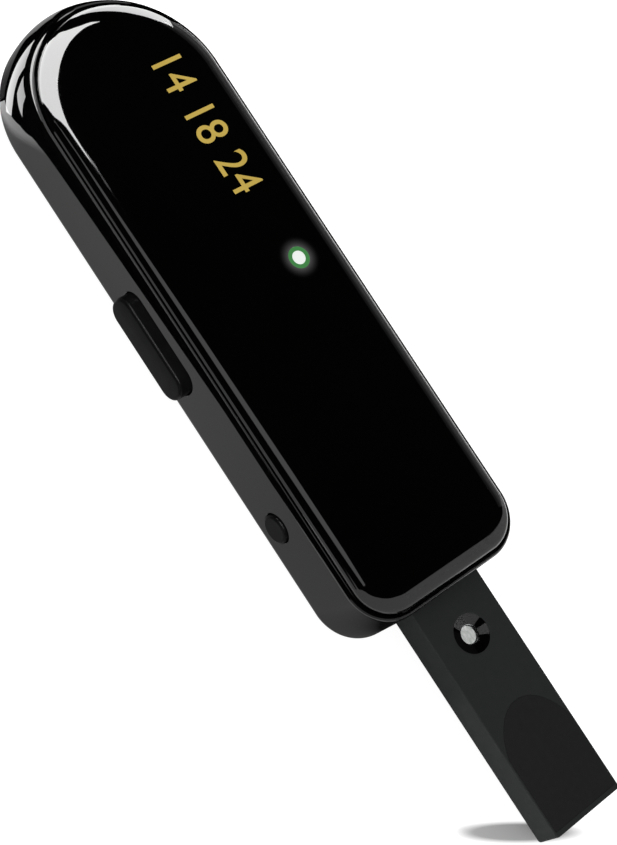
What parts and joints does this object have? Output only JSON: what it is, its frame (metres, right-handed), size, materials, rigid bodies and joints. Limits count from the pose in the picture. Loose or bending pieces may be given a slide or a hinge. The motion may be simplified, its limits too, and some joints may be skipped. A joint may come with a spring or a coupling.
{
  "type": "electronic gold tester",
  "caption": "Hand-held electronic gold tester: slim black case with a rounded end, status light, two side buttons and a sliding probe arm with a gel well and a sample pad.",
  "frame": {"origin": "centre of the flat back face that the tester rests on", "axes": "+Z out of the front face, +Y along the case towards the rounded end, -Y along the probe arm, buttons on the -X side"},
  "size_m": [0.0313, 0.1299, 0.0121],
  "materials": {
    "case_black": "glossy moulded",
    "panel_black": "high gloss",
    "button_black": "satin",
    "arm_black": "satin moulded",
    "pad_black": "soft matte",
    "light_clear": "clear, lit",
    "light_green": "tinted clear",
    "contact_silver": "bright plated",
    "liner_steel": "turned",
    "strip_brass": "gold plated",
    "spring_steel": "nickel plated",
    "screw_steel": "zinc plated",
    "board_green": "solder mask",
    "chip_black": "moulded",
    "part_tan": "ceramic",
    "led_white": "moulded lens",
    "buzzer_black": "moulded",
    "switch_grey": "moulded",
    "seal_rubber": "soft",
    "cradle_plastic": "moulded",
    "cell_steel": "bright can",
    "guide_plastic": "low-friction moulded"
  },
  "bodies": {
    "case": {"rear_shell": "case_black", "front_cover": "panel_black", "cover_seal": "seal_rubber", "case_screws": "screw_steel", "battery_door": "case_black", "door_screw": "screw_steel", "coin_cell": "cell_steel", "cell_cradle": "cradle_plastic", "cell_top_spring": "spring_steel", "cell_side_spring": "spring_steel", "main_board": "board_green", "board_screws": "screw_steel", "processor_chip": "chip_black", "sensing_chip": "chip_black", "board_parts": "part_tan", "led_chip": "led_white", "light_pipe": "light_clear", "light_ring": "light_green", "buzzer": "buzzer_black", "test_switch": "switch_grey", "power_switch": "switch_grey", "arm_guide": "guide_plastic", "wiper_springs": "spring_steel"},
    "arm": {"probe_arm": "arm_black", "arm_pad": "pad_black", "well_ring": "liner_steel", "well_contact": "contact_silver", "contact_strip": "strip_brass", "pad_strip": "strip_brass"},
    "long_button": {"test_button": "button_black"},
    "round_button": {"power_button": "button_black"}
  },
  "joints": [
    {"name": "arm_slide", "type": "slide", "parent": "case", "child": "arm", "axis": [0, 1, 0], "range_m": [0, 0.03]},
    {"name": "test_press", "type": "slide", "parent": "case", "child": "long_button", "axis": [1, 0, 0], "range_m": [0, 0.0005], "stiffness_N_per_m": 2400, "springref_m": -0.0001},
    {"name": "power_press", "type": "slide", "parent": "case", "child": "round_button", "axis": [1, 0, 0], "range_m": [0, 0.0005], "stiffness_N_per_m": 2400, "springref_m": -0.0001}
  ]
}
